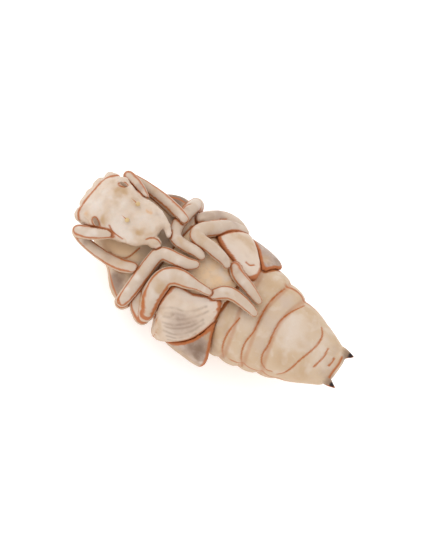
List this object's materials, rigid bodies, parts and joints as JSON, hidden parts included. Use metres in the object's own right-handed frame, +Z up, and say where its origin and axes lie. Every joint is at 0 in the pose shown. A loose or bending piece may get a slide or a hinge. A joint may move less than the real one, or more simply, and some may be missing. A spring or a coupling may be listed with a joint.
{
  "type": "weevil pupa specimen",
  "caption": "Dry exarate pupa of a broad-nosed weevil lying on its back, with folded limbs and wing pads and a tail with a pair of spines.",
  "frame": {"origin": "centre of the base of the bounding box, on the ground that the pupa's back lies on", "axes": "+X from the head to the tail, +Y to the animal's left, +Z up from the back to the venter"},
  "size_m": [0.01, 0.0048, 0.0034],
  "materials": {
    "beige_cuticle": "waxy satin",
    "tan_cuticle": "waxy satin",
    "lilac_cuticle": "waxy satin"
  },
  "bodies": {
    "root": {"abdomen": "beige_cuticle", "prothorax": "lilac_cuticle", "thorax": "tan_cuticle", "head": "beige_cuticle", "middle_leg_right": "beige_cuticle", "middle_leg_left": "beige_cuticle", "elytron_right": "beige_cuticle", "elytron_left": "beige_cuticle", "hind_wing_right": "lilac_cuticle", "hind_wing_left": "lilac_cuticle", "hind_leg_right": "beige_cuticle", "hind_leg_left": "beige_cuticle", "fore_leg_right": "beige_cuticle", "fore_leg_left": "beige_cuticle", "antenna_right": "beige_cuticle", "antenna_left": "beige_cuticle"}
  },
  "joints": []
}
